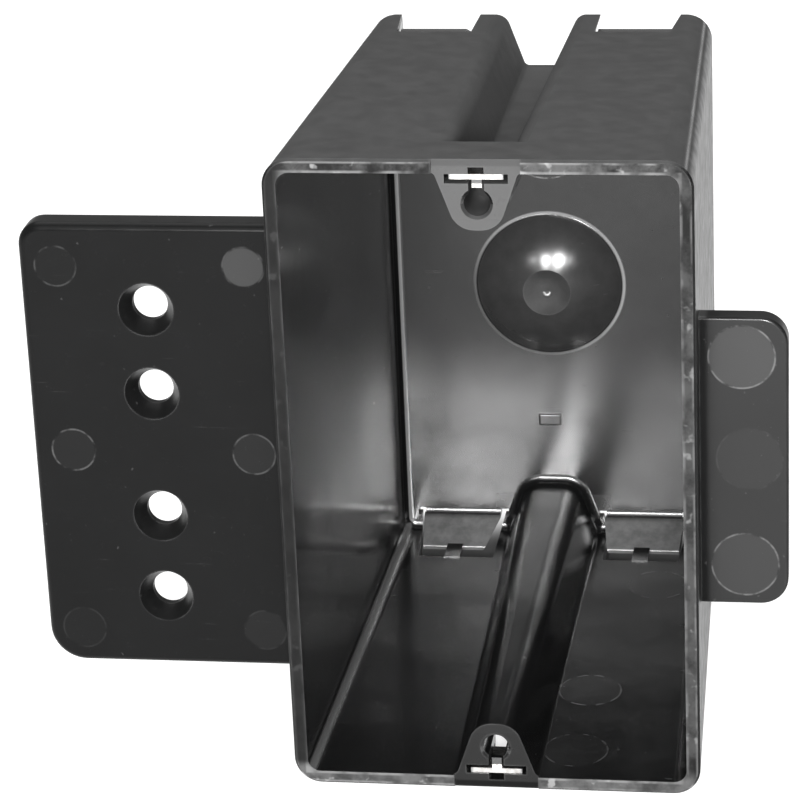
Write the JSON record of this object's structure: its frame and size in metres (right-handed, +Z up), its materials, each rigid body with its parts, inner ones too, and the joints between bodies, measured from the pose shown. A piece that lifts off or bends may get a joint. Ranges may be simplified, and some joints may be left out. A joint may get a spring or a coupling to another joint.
{
  "type": "single gang electrical box",
  "caption": "Tapered black moulded wall box, open at the front, with grooved top and bottom walls, screw bosses, corner cable entries, a side nailing plate and a stiffening tab.",
  "frame": {"origin": "midway between the device screw holes, on the front face of the screw bosses", "axes": "+X to the right seen from the open front, +Y into the wall, +Z up"},
  "size_m": [0.1094, 0.0835, 0.0962],
  "materials": {
    "black_plastic": "moulded black plastic, satin outside and glossier inside, with scuffs on the rim",
    "clip_steel": "bright plated spring steel"
  },
  "bodies": {
    "root": {"box_body": "black_plastic", "screw_clip_top": "clip_steel", "screw_clip_bottom": "clip_steel"}
  },
  "joints": []
}
